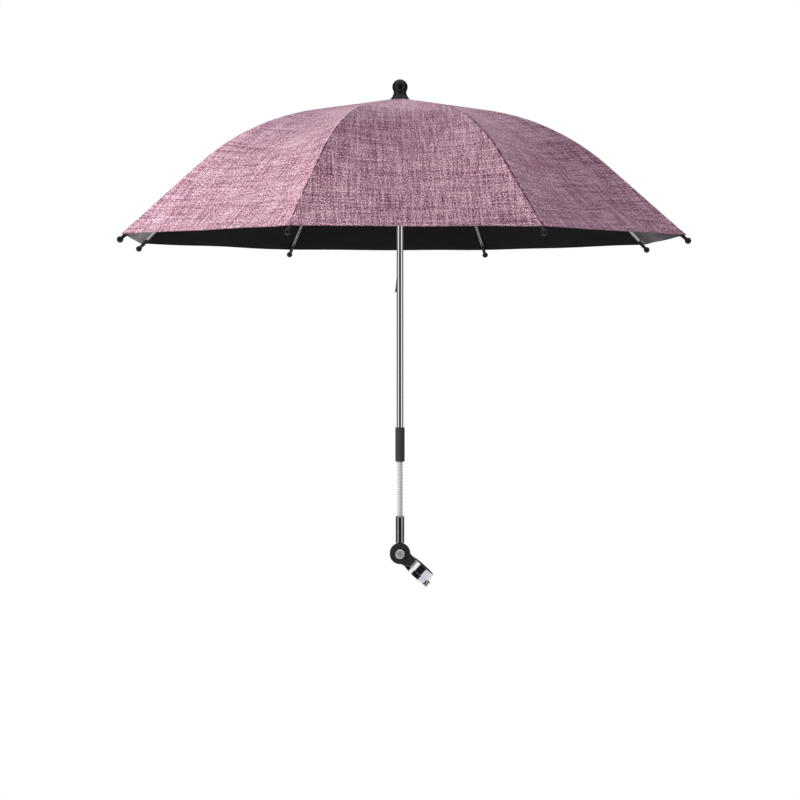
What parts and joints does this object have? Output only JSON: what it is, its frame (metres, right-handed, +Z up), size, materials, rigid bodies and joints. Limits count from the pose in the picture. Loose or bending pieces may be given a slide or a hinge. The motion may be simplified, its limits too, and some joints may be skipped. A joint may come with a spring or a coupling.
{
  "type": "pram parasol",
  "caption": "Folding pram parasol: ribbed cloth canopy on a slim shaft with a bendable gooseneck, a tilting knuckle and a quick-release ring clamp for a tube.",
  "frame": {"origin": "middle of the ring clamp's bore, on the axis of the tube that it grips", "axes": "+Z up along the shaft with the parasol upright, +X to the right as pictured, +Y away from the viewer; the gripped tube rises to +X at 48 degrees"},
  "size_m": [0.8198, 0.8198, 0.7511],
  "materials": {
    "chrome_trim": "polished chrome plate",
    "dark_plate": "dark polished plate",
    "zinc_steel": "zinc plate",
    "liner_rubber": "matt",
    "black_plastic": "fine grain",
    "gloss_black": "gloss",
    "bright_bolt": "satin",
    "sleeve_grey": "matt",
    "chrome_shaft": "polished",
    "spring_steel": "plain",
    "neck_silver": "satin silver",
    "rib_steel": "plated",
    "canopy_cloth": "linen-look weave, black coated inside"
  },
  "bodies": {
    "clamp": {"clamp_band": "chrome_trim", "band_liner": "liner_rubber", "arm_screws": "zinc_steel", "clamp_arm": "black_plastic", "draw_bolt": "zinc_steel", "adjusting_nut": "zinc_steel", "lever_pin": "chrome_trim", "knuckle_bolt": "bright_bolt", "knuckle_nut": "zinc_steel"},
    "lever": {"clamp_lever": "chrome_trim"},
    "stem": {"knuckle_barrel": "dark_plate"},
    "neck_1": {"gooseneck_link_1": "neck_silver"},
    "neck_2": {"gooseneck_link_2": "neck_silver"},
    "neck_3": {"gooseneck_link_3": "neck_silver"},
    "neck_4": {"gooseneck_link_4": "neck_silver"},
    "neck_5": {"gooseneck_link_5": "neck_silver"},
    "neck_6": {"gooseneck_link_6": "neck_silver"},
    "neck_7": {"gooseneck_link_7": "neck_silver"},
    "sleeve": {"shaft_sleeve": "sleeve_grey", "gooseneck_link_8": "neck_silver"},
    "shaft": {"shaft": "chrome_shaft", "top_notch": "black_plastic", "hub_wire": "spring_steel", "finial": "gloss_black"},
    "runner": {"runner": "black_plastic", "runner_wire": "spring_steel"},
    "top_catch": {"top_catch": "spring_steel"},
    "bottom_catch": {"bottom_catch": "spring_steel"},
    "rib_1": {"rib_1": "rib_steel", "rib_tip_1": "gloss_black", "canopy_panel_1": "canopy_cloth"},
    "stretcher_1": {"stretcher_1": "rib_steel"},
    "rib_2": {"rib_2": "rib_steel", "rib_tip_2": "gloss_black", "canopy_panel_2": "canopy_cloth"},
    "stretcher_2": {"stretcher_2": "rib_steel"},
    "rib_3": {"rib_3": "rib_steel", "rib_tip_3": "gloss_black", "canopy_panel_3": "canopy_cloth"},
    "stretcher_3": {"stretcher_3": "rib_steel"},
    "rib_4": {"rib_4": "rib_steel", "rib_tip_4": "gloss_black", "canopy_panel_4": "canopy_cloth"},
    "stretcher_4": {"stretcher_4": "rib_steel"},
    "rib_5": {"rib_5": "rib_steel", "rib_tip_5": "gloss_black", "canopy_panel_5": "canopy_cloth"},
    "stretcher_5": {"stretcher_5": "rib_steel"},
    "rib_6": {"rib_6": "rib_steel", "rib_tip_6": "gloss_black", "canopy_panel_6": "canopy_cloth"},
    "stretcher_6": {"stretcher_6": "rib_steel"},
    "rib_7": {"rib_7": "rib_steel", "rib_tip_7": "gloss_black", "canopy_panel_7": "canopy_cloth"},
    "stretcher_7": {"stretcher_7": "rib_steel"},
    "rib_8": {"rib_8": "rib_steel", "rib_tip_8": "gloss_black", "canopy_panel_8": "canopy_cloth"},
    "stretcher_8": {"stretcher_8": "rib_steel"}
  },
  "joints": [
    {"name": "lever_open", "type": "hinge", "parent": "clamp", "child": "lever", "pos_m": [0.01029, -0.0135, -0.01768], "axis": [0.6691, 0, 0.7431], "range_deg": [0, 110]},
    {"name": "knuckle_tilt", "type": "hinge", "parent": "clamp", "child": "stem", "pos_m": [-0.02898, 0, 0.0261], "axis": [0, 1, 0], "range_deg": [-120, 40]},
    {"name": "neck_side_1", "type": "hinge", "parent": "stem", "child": "neck_1", "pos_m": [-0.02898, 0, 0.0827], "axis": [0, 1, 0], "range_deg": [-15, 15]},
    {"name": "neck_fore_1", "type": "hinge", "parent": "neck_1", "child": "neck_2", "pos_m": [-0.02898, 0, 0.09275], "axis": [1, 0, 0], "range_deg": [-15, 15]},
    {"name": "neck_side_2", "type": "hinge", "parent": "neck_2", "child": "neck_3", "pos_m": [-0.02898, 0, 0.1028], "axis": [0, 1, 0], "range_deg": [-15, 15]},
    {"name": "neck_fore_2", "type": "hinge", "parent": "neck_3", "child": "neck_4", "pos_m": [-0.02898, 0, 0.11285], "axis": [1, 0, 0], "range_deg": [-15, 15]},
    {"name": "neck_side_3", "type": "hinge", "parent": "neck_4", "child": "neck_5", "pos_m": [-0.02898, 0, 0.1229], "axis": [0, 1, 0], "range_deg": [-15, 15]},
    {"name": "neck_fore_3", "type": "hinge", "parent": "neck_5", "child": "neck_6", "pos_m": [-0.02898, 0, 0.13295], "axis": [1, 0, 0], "range_deg": [-15, 15]},
    {"name": "neck_side_4", "type": "hinge", "parent": "neck_6", "child": "neck_7", "pos_m": [-0.02898, 0, 0.143], "axis": [0, 1, 0], "range_deg": [-15, 15]},
    {"name": "neck_fore_4", "type": "hinge", "parent": "neck_7", "child": "sleeve", "pos_m": [-0.02898, 0, 0.15305], "axis": [1, 0, 0], "range_deg": [-15, 15]},
    {"name": "shaft_swivel", "type": "hinge", "parent": "sleeve", "child": "shaft", "pos_m": [-0.02898, 0, 0.2141], "axis": [0, 0, 1], "continuous": true},
    {"name": "canopy_fold", "type": "hinge", "parent": "shaft", "child": "rib_1", "pos_m": [-0.02511, -0.00812, 0.6951], "axis": [0.9026, 0.4305, 0], "range_deg": [0, 62], "deforming": ["canopy_panel_1"]},
    {"name": "stretcher_turn_1", "type": "hinge", "parent": "rib_1", "child": "stretcher_1", "pos_m": [0.02797, -0.1194, 0.67446], "axis": [0.9026, 0.4305, 0], "range_deg": [-103.71, 0]},
    {"name": "rib_fold_2", "type": "hinge", "parent": "shaft", "child": "rib_2", "pos_m": [-0.0205, -0.003, 0.6951], "axis": [0.3338, 0.9426, 0], "range_deg": [0, 62], "deforming": ["canopy_panel_2"]},
    {"name": "stretcher_turn_2", "type": "hinge", "parent": "rib_2", "child": "stretcher_2", "pos_m": [0.09571, -0.04416, 0.67446], "axis": [0.3338, 0.9426, 0], "range_deg": [-103.71, 0]},
    {"name": "rib_fold_3", "type": "hinge", "parent": "shaft", "child": "rib_3", "pos_m": [-0.02086, 0.00387, 0.6951], "axis": [-0.4305, 0.9026, 0], "range_deg": [0, 62], "deforming": ["canopy_panel_3"]},
    {"name": "stretcher_turn_3", "type": "hinge", "parent": "rib_3", "child": "stretcher_3", "pos_m": [0.09042, 0.05695, 0.67446], "axis": [-0.4305, 0.9026, 0], "range_deg": [-103.71, 0]},
    {"name": "rib_fold_4", "type": "hinge", "parent": "shaft", "child": "rib_4", "pos_m": [-0.02598, 0.00848, 0.6951], "axis": [-0.9426, 0.3338, 0], "range_deg": [0, 62], "deforming": ["canopy_panel_4"]},
    {"name": "stretcher_turn_4", "type": "hinge", "parent": "rib_4", "child": "stretcher_4", "pos_m": [0.01517, 0.1247, 0.67446], "axis": [-0.9426, 0.3338, 0], "range_deg": [-103.71, 0]},
    {"name": "rib_fold_5", "type": "hinge", "parent": "shaft", "child": "rib_5", "pos_m": [-0.03286, 0.00812, 0.6951], "axis": [-0.9026, -0.4305, 0], "range_deg": [0, 62], "deforming": ["canopy_panel_5"]},
    {"name": "stretcher_turn_5", "type": "hinge", "parent": "rib_5", "child": "stretcher_5", "pos_m": [-0.08593, 0.1194, 0.67446], "axis": [-0.9026, -0.4305, 0], "range_deg": [-103.71, 0]},
    {"name": "rib_fold_6", "type": "hinge", "parent": "shaft", "child": "rib_6", "pos_m": [-0.03747, 0.003, 0.6951], "axis": [-0.3338, -0.9426, 0], "range_deg": [0, 62], "deforming": ["canopy_panel_6"]},
    {"name": "stretcher_turn_6", "type": "hinge", "parent": "rib_6", "child": "stretcher_6", "pos_m": [-0.15368, 0.04416, 0.67446], "axis": [-0.3338, -0.9426, 0], "range_deg": [-103.71, 0]},
    {"name": "rib_fold_7", "type": "hinge", "parent": "shaft", "child": "rib_7", "pos_m": [-0.03711, -0.00387, 0.6951], "axis": [0.4305, -0.9026, 0], "range_deg": [0, 62], "deforming": ["canopy_panel_7"]},
    {"name": "stretcher_turn_7", "type": "hinge", "parent": "rib_7", "child": "stretcher_7", "pos_m": [-0.14838, -0.05695, 0.67446], "axis": [0.4305, -0.9026, 0], "range_deg": [-103.71, 0]},
    {"name": "rib_fold_8", "type": "hinge", "parent": "shaft", "child": "rib_8", "pos_m": [-0.03199, -0.00848, 0.6951], "axis": [0.9426, -0.3338, 0], "range_deg": [0, 62], "deforming": ["canopy_panel_8"]},
    {"name": "stretcher_turn_8", "type": "hinge", "parent": "rib_8", "child": "stretcher_8", "pos_m": [-0.07314, -0.1247, 0.67446], "axis": [0.9426, -0.3338, 0], "range_deg": [-103.71, 0]},
    {"name": "runner_slide", "type": "slide", "parent": "shaft", "child": "runner", "axis": [0, 0, -1], "range_m": [0, 0.15847]},
    {"name": "top_catch_press", "type": "slide", "parent": "shaft", "child": "top_catch", "axis": [0.9986, 0.0523, 0], "range_m": [0, 0.0026], "stiffness_N_per_m": 1500},
    {"name": "bottom_catch_press", "type": "slide", "parent": "shaft", "child": "bottom_catch", "axis": [0.9986, 0.0523, 0], "range_m": [0, 0.0026], "stiffness_N_per_m": 1500}
  ],
  "couplings": [
    {"joint": "stretcher_turn_1", "follows": "canopy_fold", "ratio": -1.6728},
    {"joint": "rib_fold_2", "follows": "canopy_fold", "ratio": 1},
    {"joint": "stretcher_turn_2", "follows": "canopy_fold", "ratio": -1.6728},
    {"joint": "rib_fold_3", "follows": "canopy_fold", "ratio": 1},
    {"joint": "stretcher_turn_3", "follows": "canopy_fold", "ratio": -1.6728},
    {"joint": "rib_fold_4", "follows": "canopy_fold", "ratio": 1},
    {"joint": "stretcher_turn_4", "follows": "canopy_fold", "ratio": -1.6728},
    {"joint": "rib_fold_5", "follows": "canopy_fold", "ratio": 1},
    {"joint": "stretcher_turn_5", "follows": "canopy_fold", "ratio": -1.6728},
    {"joint": "rib_fold_6", "follows": "canopy_fold", "ratio": 1},
    {"joint": "stretcher_turn_6", "follows": "canopy_fold", "ratio": -1.6728},
    {"joint": "rib_fold_7", "follows": "canopy_fold", "ratio": 1},
    {"joint": "stretcher_turn_7", "follows": "canopy_fold", "ratio": -1.6728},
    {"joint": "rib_fold_8", "follows": "canopy_fold", "ratio": 1},
    {"joint": "stretcher_turn_8", "follows": "canopy_fold", "ratio": -1.6728},
    {"joint": "runner_slide", "follows": "canopy_fold", "m_per_rad": 0.14644}
  ]
}
